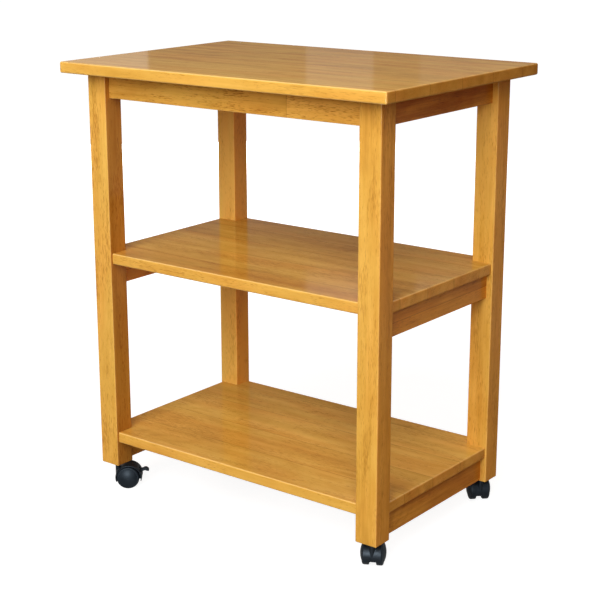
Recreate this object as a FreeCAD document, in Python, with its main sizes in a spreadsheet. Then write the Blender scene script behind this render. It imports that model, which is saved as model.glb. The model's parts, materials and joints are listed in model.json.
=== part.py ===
import FreeCAD, Part
import math
import os
import re

import Sketcher

Vector = FreeCAD.Vector

# Driving sizes: name, value in millimetres or degrees, what it measures
SIZES = [
    # Top panel
    ("top_width", 660, "top panel along X"),
    ("top_depth", 440, "top panel along Y"),
    ("top_thickness", 19, "top panel boards"),
    ("top_side_overhang", 31, "top panel past the legs, each side"),
    ("top_front_overhang", 34, "top panel past the legs, front and back"),
    ("top_edge_radius", 3, "rounding of the edges of the top panel"),
    # Legs
    ("leg_width", 40, "leg section along X"),
    ("leg_depth", 38, "leg section along Y"),
    ("leg_length", 700, "foot of the leg to the underside of the top"),
    ("leg_edge_radius", 2, "rounding of the leg edges"),
    # Aprons under the top
    ("apron_height", 42, "apron section along Z"),
    ("apron_thickness", 18, "apron section across"),
    # Side rails under the shelves
    ("rail_height", 42, "rail section along Z"),
    ("rail_thickness", 18, "rail section across"),
    ("bottom_rail_rise", 2.2, "underside of the bottom rails above the foot of the leg"),
    ("rail_edge_radius", 1.5, "rounding of the long edges of aprons and rails"),
    # Shelves
    ("shelf_thickness", 19, "shelf boards"),
    ("shelf_side_setback", 3, "shelf end behind the outer face of the legs"),
    ("shelf_front_setback", 4, "shelf edge behind the front face of the legs"),
    ("shelf_edge_radius", 2.5, "rounding of the outer shelf edges"),
    ("shelf_notch_gap", 0.5, "shelf notch clear of the leg"),
    ("middle_shelf_drop", 328, "top surface down to the middle shelf surface"),
    # Wooden dowels
    ("dowel_diameter", 8, "dowel"),
    ("dowel_in_leg", 12, "dowel length inside the leg"),
    ("dowel_in_rail", 18, "dowel length inside the apron or rail"),
    ("dowel_spacing", 20, "between the two dowels of a joint"),
    ("dowel_end_gap", 0.5, "glue space past the end of a dowel"),
    # Screws up into the top and the shelves
    ("screw_diameter", 4, "screw shank"),
    ("screw_head_diameter", 8, "screw head"),
    ("screw_head_height", 3, "screw head"),
    ("screw_bite", 13, "screw length inside the panel"),
    ("screw_tip_gap", 0.5, "hole past the end of a screw"),
    ("counterbore_diameter", 9.5, "recess that takes the screw head"),
    ("counterbore_depth", 20, "recess that takes the screw head"),
    ("long_apron_screw_x", 150, "outer screws of the front and back aprons from the middle"),
    ("side_apron_screw_y", 60, "screws of the side aprons from the middle"),
    ("rail_screw_y", 90, "screws of the side rails from the middle"),
    # Corner braces and hanger bolts
    ("brace_thickness", 2, "brace sheet"),
    ("brace_height", 34, "brace along Z"),
    ("brace_gap", 12, "brace plate to the inner corner of the leg"),
    ("brace_lip", 8, "brace lip inside the apron"),
    ("bolt_diameter", 6, "hanger bolt"),
    ("bolt_tip", 4.5, "end of the bolt from the leg axis"),
    ("bolt_tail", 5, "bolt past the nut"),
    ("bolt_hole_play", 0.5, "brace hole wider than the bolt"),
    ("nut_height", 5, "hexagon nut"),
    ("nut_corner_radius", 5.8, "hexagon nut, middle to corner"),
    # Fits
    ("fit_gap", 0.05, "radial clearance of a dowel, screw, pin or shaft in its hole"),
    ("kerf_gap", 0.15, "saw kerf wider than the brace lip, each side"),
    # Caster wheels
    ("wheel_diameter", 41, "caster wheel"),
    ("wheel_gap", 12, "between the inner faces of the twin wheels"),
    ("wheel_width", 11, "inner face to rim face of one wheel"),
    ("wheel_dome", 4, "dome past the rim face"),
    ("wheel_face_diameter", 33, "domed face inside the rim"),
    ("wheel_edge_radius", 1.5, "rounding of the inner tread edge"),
    ("wheel_rim_radius", 3, "rounding of the outer tread edge"),
    ("wheel_wall", 3, "rim and disc of the wheel"),
    ("wheel_groove", 0.8, "groove round the domed face, width and depth"),
    ("axle_diameter", 6, "axle"),
    ("axle_length", 27, "axle"),
    ("axle_end_gap", 0.5, "wheel bore past the end of the axle"),
    ("wheel_hub_diameter", 12, "hub inside the wheel"),
    # Caster hood
    ("caster_trail", 19, "stem axis back to the axle"),
    ("hood_gap", 0.8, "wheel tread to the inside of the hood"),
    ("hood_wall", 1.7, "hood shell"),
    ("hood_width", 30, "hood across the wheels"),
    ("hood_web", 11, "web between the wheels"),
    ("hood_back_room", 1.8, "back of the hood further from the wheel than its front"),
    ("hood_skirt_angle", 20, "front skirt below the axle"),
    ("hood_tail_angle", 16, "back end of the hood below the axle"),
    ("hood_edge_radius", 1.2, "rounding of the outer hood edges"),
    ("hood_hub_radius", 8, "web round the axle"),
    # Caster stem, socket and grip ring
    ("crown_gap", 0.5, "swivel face above the crown of the hood"),
    ("boss_diameter", 8.4, "stem boss in the front of the hood"),
    ("collar_thickness", 2, "stem collar"),
    ("collar_diameter", 13, "stem collar"),
    ("pin_diameter", 5, "lower end of the stem, in the hood"),
    ("pin_length", 20, "lower end of the stem, in the hood"),
    ("pin_end_gap", 0.5, "bore past the lower end of the stem"),
    ("stem_diameter", 8, "stem inside the socket"),
    ("stem_length", 36, "stem inside the socket"),
    ("ring_height", 4, "grip ring"),
    ("ring_wall", 1.2, "grip ring, sunk into the stem"),
    ("ring_drop", 8, "grip ring below the top of the stem"),
    ("ring_split", 1.5, "gap in the grip ring"),
    ("socket_diameter", 11, "socket sleeve"),
    ("socket_length", 38, "socket sleeve inside the leg"),
    ("socket_flange_diameter", 18, "socket flange under the foot of the leg"),
    ("socket_flange_thickness", 2, "socket flange under the foot of the leg"),
    # Brake lever of the front casters, places measured from the axle
    ("pivot_back", 15.5, "lever pivot behind the axle"),
    ("pivot_rise", 7.5, "lever pivot above the axle"),
    ("pivot_pin_diameter", 3, "lever pivot pin"),
    ("lever_eye_radius", 3.2, "lever round the pivot pin"),
    ("lever_root_width", 5.6, "lever inside the hood"),
    ("lever_pad_width", 8, "lever outside the hood"),
    ("lever_thickness", 5, "lever arm"),
    ("lever_pad_thickness", 5.4, "foot pad of the lever"),
    ("lever_curl_back", 31.2, "middle of the pad's curl behind the axle"),
    ("lever_curl_rise", 9.2, "middle of the pad's curl above the axle"),
    ("lever_curl_radius", 6, "upper side of the pad"),
    ("lever_pad_start", 130, "upper end of the pad round its curl"),
    ("lever_pad_end", -8, "tip of the pad round its curl"),
    ("lever_edge_radius", 1, "rounding of the upper edges of the pad"),
    ("lever_slot_gap", 0.4, "hood slot wider than the lever, each side"),
    ("slot_rise", 7, "slot above and below the pivot"),
    ("shoe_gap", 1.1, "brake shoe to the tread when released"),
    ("shoe_thickness", 0.9, "brake shoe"),
    ("shoe_width", 28, "brake shoe across the wheels"),
    ("shoe_start", 16, "lower edge of the shoe round the axle"),
    ("shoe_end", 24, "upper edge of the shoe round the axle"),
    ("shoe_room", 2, "web cut away above and below the brake shoe"),
    # Rest headings of the casters, stem to axle, from +X
    ("heading_front_left", 39, "front left caster"),
    ("heading_front_right", 118, "front right caster"),
    ("heading_back_left", 70, "back left caster"),
    ("heading_back_right", 133, "back right caster"),
]
NAMES = {alias for alias, value, note in SIZES}

# Places worked out from the driving sizes
WHEEL_RADIUS = "(wheel_diameter / 2)"
HOOD_INSIDE = "(wheel_diameter / 2 + hood_gap)"
HOOD_RADIUS = "(wheel_diameter / 2 + hood_gap + hood_wall)"
SWIVEL_FACE = f"({WHEEL_RADIUS} + {HOOD_RADIUS} + crown_gap)"
COLLAR_TOP = f"({SWIVEL_FACE} + collar_thickness)"
FOOT = f"({COLLAR_TOP} + socket_flange_thickness)"
TOP_UNDERSIDE = f"({FOOT} + leg_length)"
APRON_BASE = f"({TOP_UNDERSIDE} - apron_height)"
MIDDLE_SHELF_BASE = f"({TOP_UNDERSIDE} + top_thickness - middle_shelf_drop - shelf_thickness)"
MIDDLE_RAIL_BASE = f"({MIDDLE_SHELF_BASE} - rail_height)"
BOTTOM_RAIL_BASE = f"({FOOT} + bottom_rail_rise)"
BOTTOM_SHELF_BASE = f"({BOTTOM_RAIL_BASE} + rail_height)"

FRAME_WIDTH = "(top_width - 2 * top_side_overhang)"
FRAME_DEPTH = "(top_depth - 2 * top_front_overhang)"
LEG_X = f"(({FRAME_WIDTH} - leg_width) / 2)"
LEG_Y = f"(({FRAME_DEPTH} - leg_depth) / 2)"
CLEAR_X = f"({FRAME_WIDTH} - 2 * leg_width)"
CLEAR_Y = f"({FRAME_DEPTH} - 2 * leg_depth)"

APRON_FACE_X = f"({LEG_X} - apron_thickness / 2)"
APRON_FACE_Y = f"({LEG_Y} - apron_thickness / 2)"
BRACE_REACH = "((leg_width + leg_depth) / 2 - apron_thickness + brace_gap * sqrt(2))"
BRACE_FACE = f"((apron_thickness + {BRACE_REACH}) / sqrt(2))"
BOLT_LENGTH = f"({BRACE_FACE} + brace_thickness + nut_height + bolt_tail - bolt_tip)"
BOLT_HEIGHT = f"({TOP_UNDERSIDE} - apron_height / 2)"

DOWEL_LENGTH = "(dowel_in_leg + dowel_in_rail)"
DOWEL_HOLE = "(dowel_diameter + 2 * fit_gap)"
SCREW_HOLE = "(screw_diameter + 2 * fit_gap)"
PANEL_HOLE_DEPTH = "(screw_bite + screw_tip_gap)"

LEFT, RIGHT = -1, 1
FRONT, BACK = -1, 1
CORNERS = {
    "front_left": (LEFT, FRONT),
    "front_right": (RIGHT, FRONT),
    "back_left": (LEFT, BACK),
    "back_right": (RIGHT, BACK),
}
BRAKED = ("front_left", "front_right")

doc = FreeCAD.newDocument("microwave_cart")
sheet = doc.addObject("Spreadsheet::Sheet", "Sizes")
for row, (alias, value, note) in enumerate(SIZES, start=1):
    sheet.set(f"A{row}", alias)
    sheet.set(f"B{row}", str(value))
    sheet.setAlias(f"B{row}", alias)
    sheet.set(f"C{row}", note)
doc.recompute()

pieces = []


# Expressions and placing

def linked(text):
    """Expression with each size name pointed at its cell of the sheet."""
    return re.sub(r"[a-z]\w+", lambda word: f"Sizes.{word[0]}" if word[0] in NAMES else word[0], text)


def number(text):
    """Present value of an expression."""
    return float(sheet.evalExpression(linked(text)))


def bind(thing, prop, text):
    """Drive a property by an expression."""
    thing.setExpression(prop, linked(text))


def place(thing, x, y, z, turn="0"):
    """Drive the place of an object, and its turn about Z."""
    for axis, text in zip("xyz", (x, y, z)):
        bind(thing, f"Placement.Base.{axis}", text)
    if turn != "0":
        thing.Placement = FreeCAD.Placement(Vector(), FreeCAD.Rotation(Vector(0, 0, 1), number(turn)))
        bind(thing, "Placement.Rotation.Angle", turn)


def aim(thing, direction):
    """Point the Z axis of a primitive along a direction."""
    thing.Placement = FreeCAD.Placement(Vector(), FreeCAD.Rotation(Vector(0, 0, 1), Vector(*direction)))


# Sketches

def new_body(label, x="0", y="0", z="0", turn="0"):
    """Body of one piece, listed for export under its label."""
    body = doc.addObject("PartDesign::Body", label)
    body.Label = label
    place(body, x, y, z, turn)
    pieces.append(body)
    return body


def new_sketch(body, name, plane, shift=("0", "0", "0"), turn=0):
    """Sketch on an origin plane, shifted in the plane's own axes and turned about its upright."""
    support = next(item for item in body.Origin.OriginFeatures if item.Role == plane)
    sketch = body.newObject("Sketcher::SketchObject", name)
    sketch.AttachmentSupport = [(support, "")]
    sketch.MapMode = "FlatFace"
    sketch.AttachmentOffset = FreeCAD.Placement(Vector(), FreeCAD.Rotation(Vector(0, 1, 0), turn))
    for axis, text in zip("xyz", shift):
        if text != "0":
            bind(sketch, f"AttachmentOffset.Base.{axis}", text)
    return sketch


def hold(sketch, edge, position, x, y):
    """Keep a point of the sketch at the place that two expressions give."""
    for kind, text, axis in (("DistanceX", x, -2), ("DistanceY", y, -1)):
        if text == "0":
            sketch.addConstraint(Sketcher.Constraint("PointOnObject", edge, position, axis))
        else:
            index = sketch.addConstraint(Sketcher.Constraint(kind, -1, 1, edge, position, number(text)))
            bind(sketch, f"Constraints[{index}]", text)


def arc_between(start, end, radius):
    """Arc under half a turn, counter-clockwise from start to end if the radius is positive."""
    chord = end - start
    rise = math.sqrt(radius ** 2 - (chord.Length / 2) ** 2)
    left = Vector(-chord.y, chord.x, 0).normalize()
    centre = (start + end) * 0.5 + left * math.copysign(rise, radius)
    first, last = (start, end) if radius > 0 else (end, start)
    from_angle = math.atan2(first.y - centre.y, first.x - centre.x)
    to_angle = math.atan2(last.y - centre.y, last.x - centre.x)
    if to_angle < from_angle:
        to_angle += 2 * math.pi
    return Part.ArcOfCircle(Part.Circle(centre, Vector(0, 0, 1), abs(radius)), from_angle, to_angle)


def outline(sketch, corners):
    """Closed outline. A corner is x, y and, where an arc leads on, its radius, minus for clockwise."""
    points = [Vector(number(corner[0]), number(corner[1]), 0) for corner in corners]
    edges = []
    for index, corner in enumerate(corners):
        start = points[index]
        end = points[(index + 1) % len(points)]
        if len(corner) == 2:
            edges.append((sketch.addGeometry(Part.LineSegment(start, end), False), 1, 2))
            continue
        edge = sketch.addGeometry(arc_between(start, end, number(corner[2])), False)
        edges.append((edge, 1, 2) if number(corner[2]) > 0 else (edge, 2, 1))
        size = corner[2].lstrip("-")
        radius = sketch.addConstraint(Sketcher.Constraint("Radius", edge, number(size)))
        bind(sketch, f"Constraints[{radius}]", size)
    for index, corner in enumerate(corners):
        edge, start, end = edges[index]
        last, last_start, last_end = edges[index - 1]
        sketch.addConstraint(Sketcher.Constraint("Coincident", last, last_end, edge, start))
        hold(sketch, edge, start, corner[0], corner[1])
    return sketch


def rectangle(sketch, low_x, high_x, low_y, high_y):
    """Rectangle between four expressions."""
    return outline(sketch, [(low_x, low_y), (high_x, low_y), (high_x, high_y), (low_x, high_y)])


def circles(sketch, diameter, centres):
    """Equal circles at the given centres."""
    for x, y in centres:
        middle = Vector(number(x), number(y), 0)
        edge = sketch.addGeometry(Part.Circle(middle, Vector(0, 0, 1), number(diameter) / 2), False)
        hold(sketch, edge, 3, x, y)
        size = sketch.addConstraint(Sketcher.Constraint("Diameter", edge, number(diameter)))
        bind(sketch, f"Constraints[{size}]", diameter)
    return sketch


# Features

def grow(kind, sketch, length, symmetric, reverse):
    """Pad or pocket of a sketch. Without a length it runs through everything."""
    body = sketch.getParentGeoFeatureGroup()
    feature = body.newObject(f"PartDesign::{kind}", f"{sketch.Name}_{kind.lower()}")
    feature.Profile = sketch
    feature.SideType = "Symmetric" if symmetric else "One side"
    feature.Reversed = reverse
    if length is None:
        feature.Type = "ThroughAll"
    else:
        bind(feature, "Length", length)
    sketch.Visibility = False
    return feature


def pad(sketch, length, symmetric=False, reverse=False):
    return grow("Pad", sketch, length, symmetric, reverse)


def pocket(sketch, depth=None, symmetric=False, reverse=False):
    return grow("Pocket", sketch, depth, symmetric, reverse)


def revolve(sketch, axis="V_Axis"):
    """Full turn of a sketch about one of its own axes."""
    body = sketch.getParentGeoFeatureGroup()
    feature = body.newObject("PartDesign::Revolution", f"{sketch.Name}_revolution")
    feature.Profile = sketch
    feature.ReferenceAxis = (sketch, [axis])
    sketch.Visibility = False
    return feature


def round_edges(body, radius, chosen):
    """Fillet the edges of the body so far that the chosen test picks."""
    doc.recompute()
    base = body.Tip
    names = [f"Edge{index}" for index, edge in enumerate(base.Shape.Edges, start=1) if chosen(edge)]
    feature = body.newObject("PartDesign::Fillet", f"{body.Name}_rounding")
    feature.Base = (base, names)
    bind(feature, "Radius", radius)
    return feature


def runs_along(edge, axis):
    """Whether a straight edge is parallel to an axis."""
    step = edge.lastVertex().Point - edge.firstVertex().Point
    return edge.Curve.TypeId == "Part::GeomLine" and abs(getattr(step, axis)) > 0.999 * step.Length


def middle_of(edge):
    """Point halfway along an edge."""
    return edge.valueAt((edge.FirstParameter + edge.LastParameter) / 2)


def near(value, text):
    """Whether a coordinate is at the value of an expression, on either side of zero."""
    return abs(abs(value) - number(text)) < 0.001


# Groups of equal pieces

def cylinder(name, diameter, length, x, y, z, direction=(0, 0, 1)):
    """Plain cylinder from a point along a direction."""
    thing = doc.addObject("Part::Cylinder", name)
    bind(thing, "Radius", f"{diameter} / 2")
    bind(thing, "Height", length)
    aim(thing, direction)
    place(thing, x, y, z)
    return thing


def cut(name, base, tool):
    thing = doc.addObject("Part::Cut", name)
    thing.Base = base
    thing.Tool = tool
    return thing


def group(label, members):
    """One piece made of separate equal solids."""
    thing = doc.addObject("Part::Compound", label)
    thing.Label = label
    thing.Links = members
    pieces.append(thing)
    return thing


def screw(name, x, y, seat, length):
    """Screw that points up, with its head under the seat."""
    head = cylinder(f"{name}_head", "screw_head_diameter", "screw_head_height", x, y,
                    f"{seat} - screw_head_height")
    shank = cylinder(f"{name}_shank", "screw_diameter", f"{length} + screw_head_height / 2", x, y,
                     f"{seat} - screw_head_height / 2")
    thing = doc.addObject("Part::Fuse", name)
    thing.Base = head
    thing.Tool = shank
    return thing


# Wooden frame

def apron_screw_places():
    """Screws up into the top: three along each long apron and two along each side apron."""
    places = []
    for side in (FRONT, BACK):
        for step in (-1, 0, 1):
            places.append((f"{step} * long_apron_screw_x", f"{side} * {LEG_Y}"))
    for side in (LEFT, RIGHT):
        for step in (-1, 1):
            places.append((f"{side} * {LEG_X}", f"{step} * side_apron_screw_y"))
    return places


def rail_screw_places():
    """Screws up into a shelf: two along each side rail."""
    return [(f"{side} * {LEG_X}", f"{step} * rail_screw_y") for side in (LEFT, RIGHT) for step in (-1, 1)]


def panel_holes(body, name, places):
    """Screw holes in the underside of a panel."""
    holes = circles(new_sketch(body, name, "XY_Plane"), SCREW_HOLE, places)
    pocket(holes, PANEL_HOLE_DEPTH, reverse=True)


def make_top():
    body = new_body("top_panel", z=TOP_UNDERSIDE)
    board = new_sketch(body, "top_board", "XY_Plane")
    rectangle(board, "-top_width / 2", "top_width / 2", "-top_depth / 2", "top_depth / 2")
    pad(board, "top_thickness")
    round_edges(body, "top_edge_radius", lambda edge: True)
    panel_holes(body, "top_screw_holes", apron_screw_places())


def make_shelf(label, base):
    """Shelf board with a notch round each leg."""
    body = new_body(label, z=base)
    end_x = f"({FRAME_WIDTH} / 2 - shelf_side_setback)"
    edge_y = f"({FRAME_DEPTH} / 2 - shelf_front_setback)"
    notch_x = f"({CLEAR_X} / 2 - shelf_notch_gap)"
    notch_y = f"({CLEAR_Y} / 2 - shelf_notch_gap)"
    board = new_sketch(body, f"{label}_board", "XY_Plane")
    quarter = [(end_x, notch_y), (notch_x, notch_y), (notch_x, edge_y)]
    corners = list(quarter)
    corners += [(f"-{x}", y) for x, y in reversed(quarter)]
    corners += [(f"-{x}", f"-{y}") for x, y in quarter]
    corners += [(x, f"-{y}") for x, y in reversed(quarter)]
    outline(board, corners)
    pad(board, "shelf_thickness")

    def outer(edge):
        point = middle_of(edge)
        return (runs_along(edge, "y") and near(point.x, end_x)) or (
            runs_along(edge, "x") and near(point.y, edge_y))

    round_edges(body, "shelf_edge_radius", outer)
    panel_holes(body, f"{label}_screw_holes", rail_screw_places())


def joint_heights(base, height):
    """Heights of the two dowels of one joint."""
    return [f"{base} + {height} / 2 + {step} * dowel_spacing / 2" for step in (-1, 1)]


def make_rail(label, along, place_x, place_y, base, height, thickness, screws, kerf=None):
    """Apron or rail along X or Y: dowel holes in its ends, counterbored screw holes, brace kerfs.

    kerf is the side of the board that faces into the cart, minus or plus one."""
    body = new_body(label, place_x, place_y, base)
    half_length = f"{CLEAR_X if along == 'x' else CLEAR_Y} / 2"
    half_thick = f"{thickness} / 2"
    board = new_sketch(body, f"{label}_board", "XY_Plane")
    if along == "x":
        rectangle(board, f"-{half_length}", half_length, f"-{half_thick}", half_thick)
    else:
        rectangle(board, f"-{half_thick}", half_thick, f"-{half_length}", half_length)
    pad(board, height)
    round_edges(body, "rail_edge_radius", lambda edge: runs_along(edge, along))

    end_plane, outward = ("YZ_Plane", 1) if along == "x" else ("XZ_Plane", -1)
    for end in (-1, 1):
        end_face = ("0", "0", f"{end * outward} * {half_length}")
        holes = new_sketch(body, f"{label}_dowel_holes", end_plane, end_face)
        circles(holes, DOWEL_HOLE, [("0", z) for z in joint_heights("0", height)])
        pocket(holes, "dowel_in_rail + dowel_end_gap", reverse=end * outward < 0)

    centres = [(step, "0") if along == "x" else ("0", step) for step in screws]
    holes = circles(new_sketch(body, f"{label}_screw_holes", "XY_Plane"), SCREW_HOLE, centres)
    pocket(holes, reverse=True)
    recesses = new_sketch(body, f"{label}_counterbores", "XY_Plane")
    circles(recesses, "counterbore_diameter", centres)
    pocket(recesses, "counterbore_depth", reverse=True)

    if kerf is None:
        return
    face = APRON_FACE_X if along == "x" else APRON_FACE_Y
    near_edge = f"({face} - {BRACE_REACH} + kerf_gap)"
    far_edge = f"({face} - {BRACE_REACH} - brace_thickness - kerf_gap)"
    floor = f"{kerf} * ({half_thick} - brace_lip - kerf_gap)"
    mouth = f"{kerf} * {thickness}"
    for end in (-1, 1):
        slot = new_sketch(body, f"{label}_kerf", "XY_Plane")
        span = (f"{end} * {far_edge}", f"{end} * {near_edge}")
        rectangle(slot, *(span + (floor, mouth) if along == "x" else (floor, mouth) + span))
        pocket(slot, reverse=True)


def inward_turn(side_x, side_y):
    """Turn that points an upright sketch from a corner of the cart to its middle."""
    return -45 * side_x if side_y == BACK else -135 * side_x


def make_leg(label, side_x, side_y):
    """Square leg with dowel holes, a bolt hole in its inner edge and a socket hole."""
    body = new_body(label, f"{side_x} * {LEG_X}", f"{side_y} * {LEG_Y}", FOOT)
    section = new_sketch(body, f"{label}_section", "XY_Plane")
    rectangle(section, "-leg_width / 2", "leg_width / 2", "-leg_depth / 2", "leg_depth / 2")
    pad(section, "leg_length")

    def outer(edge):
        return runs_along(edge, "z") or near(middle_of(edge).z, "0")

    round_edges(body, "leg_edge_radius", outer)

    apron_heights = joint_heights("(leg_length - apron_height)", "apron_height")
    middle_heights = joint_heights(f"({MIDDLE_RAIL_BASE} - {FOOT})", "rail_height")
    bottom_heights = joint_heights("bottom_rail_rise", "rail_height")
    inner_face = ("0", "0", f"{side_y} * leg_depth / 2")
    side_holes = new_sketch(body, f"{label}_side_dowel_holes", "XZ_Plane", inner_face)
    circles(side_holes, DOWEL_HOLE, [("0", z) for z in apron_heights + middle_heights + bottom_heights])
    pocket(side_holes, "dowel_in_leg + dowel_end_gap", reverse=side_y == FRONT)
    inner_face = ("0", "0", f"{-side_x} * leg_width / 2")
    long_holes = new_sketch(body, f"{label}_long_dowel_holes", "YZ_Plane", inner_face)
    circles(long_holes, DOWEL_HOLE, [("0", z) for z in apron_heights])
    pocket(long_holes, "dowel_in_leg + dowel_end_gap", reverse=side_x == RIGHT)

    turn = inward_turn(side_x, side_y)
    tip = "(bolt_tip - dowel_end_gap)"
    bolt_hole = new_sketch(body, f"{label}_bolt_hole", "XZ_Plane",
                           (f"{tip} * sin({turn})", "0", f"{tip} * cos({turn})"), turn)
    circles(bolt_hole, "bolt_diameter + 2 * fit_gap", [("0", "leg_length - apron_height / 2")])
    pocket(bolt_hole, "leg_width + leg_depth", reverse=True)

    socket_hole = new_sketch(body, f"{label}_socket_hole", "XY_Plane")
    circles(socket_hole, "socket_diameter + 2 * fit_gap", [("0", "0")])
    pocket(socket_hole, "socket_length + dowel_end_gap", reverse=True)


def make_dowels():
    """Two dowels in each end of every apron and rail."""
    middle_heights = joint_heights(MIDDLE_RAIL_BASE, "rail_height")
    bottom_heights = joint_heights(BOTTOM_RAIL_BASE, "rail_height")
    levels = {
        "rail_dowels": middle_heights + bottom_heights,
        "apron_dowels": joint_heights(APRON_BASE, "apron_height"),
    }
    for label, heights in levels.items():
        members = []
        for side_x, side_y in CORNERS.values():
            for z in heights:
                members.append(cylinder("side_dowel", "dowel_diameter", DOWEL_LENGTH, f"{side_x} * {LEG_X}",
                                        f"{side_y} * ({CLEAR_Y} / 2 - dowel_in_rail)", z, (0, side_y, 0)))
                if label == "apron_dowels":
                    members.append(cylinder("long_dowel", "dowel_diameter", DOWEL_LENGTH,
                                            f"{side_x} * ({CLEAR_X} / 2 - dowel_in_rail)",
                                            f"{side_y} * {LEG_Y}", z, (side_x, 0, 0)))
        group(label, members)


def make_screws():
    """Screws up through the aprons into the top, and through the rails into the shelves."""
    apron_length = "(apron_height - counterbore_depth + screw_bite)"
    rail_length = "(rail_height - counterbore_depth + screw_bite)"
    group("top_screws", [screw("top_screw", x, y, f"({APRON_BASE} + counterbore_depth)", apron_length)
                         for x, y in apron_screw_places()])
    group("shelf_screws", [screw("shelf_screw", x, y, f"({base} + counterbore_depth)", rail_length)
                           for base in (MIDDLE_RAIL_BASE, BOTTOM_RAIL_BASE)
                           for x, y in rail_screw_places()])


def make_brace(corner, side_x, side_y):
    """Bent sheet across an apron corner, with a lip in a kerf of each apron and a bolt hole."""
    quarter_turns = {(RIGHT, BACK): 0, (LEFT, BACK): 90, (LEFT, FRONT): 180, (RIGHT, FRONT): 270}
    body = new_body(f"{corner}_corner_brace", f"{side_x} * {APRON_FACE_X}", f"{side_y} * {APRON_FACE_Y}",
                    f"{BOLT_HEIGHT} - brace_height / 2", str(quarter_turns[side_x, side_y]))
    mitre = "brace_thickness * tan(22.5)"
    back = f"(-{BRACE_REACH} - brace_thickness)"
    front = f"(-{BRACE_REACH})"
    strip = new_sketch(body, f"{corner}_brace_strip", "XY_Plane")
    outline(strip, [(front, "brace_lip"), (front, "0"), ("0", front), ("brace_lip", front),
                    ("brace_lip", back), (f"-{mitre}", back), (back, f"-{mitre}"), (back, "brace_lip")])
    pad(strip, "brace_height")
    hole = new_sketch(body, f"{corner}_brace_hole", "XZ_Plane", turn=inward_turn(RIGHT, BACK))
    circles(hole, "bolt_diameter + bolt_hole_play", [("0", "brace_height / 2")])
    pocket(hole, symmetric=True)


def make_hanger_bolts():
    """Bolt from the inner edge of each leg through its brace, with a hexagon nut."""
    bolts = []
    nuts = []
    for side_x, side_y in CORNERS.values():
        inward = (-side_x, -side_y, 0)

        def along(reach):
            x = f"{side_x} * ({LEG_X} - {reach} / sqrt(2))"
            y = f"{side_y} * ({LEG_Y} - {reach} / sqrt(2))"
            return x, y, BOLT_HEIGHT

        bolts.append(cylinder("hanger_bolt", "bolt_diameter", BOLT_LENGTH, *along("bolt_tip"), inward))
        seat = along(f"({BRACE_FACE} + brace_thickness)")
        hexagon = doc.addObject("Part::Prism", "hexagon")
        hexagon.Polygon = 6
        bind(hexagon, "Circumradius", "nut_corner_radius")
        bind(hexagon, "Height", "nut_height")
        aim(hexagon, inward)
        place(hexagon, *seat)
        bore = cylinder("nut_bore", "(bolt_diameter + 2 * fit_gap)", "nut_height", *seat, inward)
        nuts.append(cut("hanger_nut", hexagon, bore))
    group("hanger_bolts", bolts)
    group("hanger_nuts", nuts)


# Casters: each is drawn with its stem on the Z axis, its axle behind the stem along X, the floor at zero

def from_axle(back, rise):
    """Point in the side view of a caster, measured from its axle."""
    return f"(caster_trail + {back})", f"({WHEEL_RADIUS} + {rise})"


def round_axle(radius, angle, back=1):
    """Point at a radius and an angle above the axle, behind it or, with minus one, in front of it."""
    return from_axle(f"{back} * {radius} * cos({angle})", f"{radius} * sin({angle})")


def make_stem(corner, x, y):
    """Socket in the foot of the leg, and the stem whose collar bears on the hood."""
    bore = "(stem_diameter / 2 + fit_gap)"
    flange = "socket_flange_diameter / 2"
    sleeve = "socket_diameter / 2"
    body = new_body(f"{corner}_caster_socket", x, y, COLLAR_TOP)
    top = "(socket_flange_thickness + socket_length)"
    profile = new_sketch(body, f"{corner}_socket_profile", "XZ_Plane")
    outline(profile, [(bore, "0"), (flange, "0"), (flange, "socket_flange_thickness"),
                      (sleeve, "socket_flange_thickness"), (sleeve, top), (bore, top)])
    revolve(profile)

    body = new_body(f"{corner}_caster_stem", x, y, SWIVEL_FACE)
    pin = "pin_diameter / 2"
    collar = "collar_diameter / 2"
    stem = "stem_diameter / 2"
    neck = "(stem_diameter / 2 - ring_wall)"
    stem_top = "(collar_thickness + stem_length)"
    ring_top = f"({stem_top} - ring_drop)"
    ring_base = f"({ring_top} - ring_height)"
    profile = new_sketch(body, f"{corner}_stem_profile", "XZ_Plane")
    outline(profile, [("0", "-pin_length"), (pin, "-pin_length"), (pin, "0"), (collar, "0"),
                      (collar, "collar_thickness"), (stem, "collar_thickness"), (stem, ring_base),
                      (neck, ring_base), (neck, ring_top), (stem, ring_top), (stem, stem_top),
                      ("0", stem_top)])
    revolve(profile)


def make_grip_rings():
    """Split ring in the groove of each stem."""
    base = f"({COLLAR_TOP} + stem_length - ring_drop - ring_height + fit_gap)"
    height = "(ring_height - 2 * fit_gap)"
    rings = []
    for side_x, side_y in CORNERS.values():
        x = f"{side_x} * {LEG_X}"
        y = f"{side_y} * {LEG_Y}"
        outside = cylinder("ring_outside", "stem_diameter", height, x, y, base)
        bore = "(stem_diameter - 2 * ring_wall + 2 * fit_gap)"
        inside = cylinder("ring_inside", bore, height, x, y, base)
        split = doc.addObject("Part::Box", "ring_split_box")
        bind(split, "Length", "stem_diameter")
        bind(split, "Width", "ring_split")
        bind(split, "Height", height)
        place(split, x, f"{y} - ring_split / 2", base)
        rings.append(cut("grip_ring", cut("closed_ring", outside, inside), split))
    group("grip_rings", rings)


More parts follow.
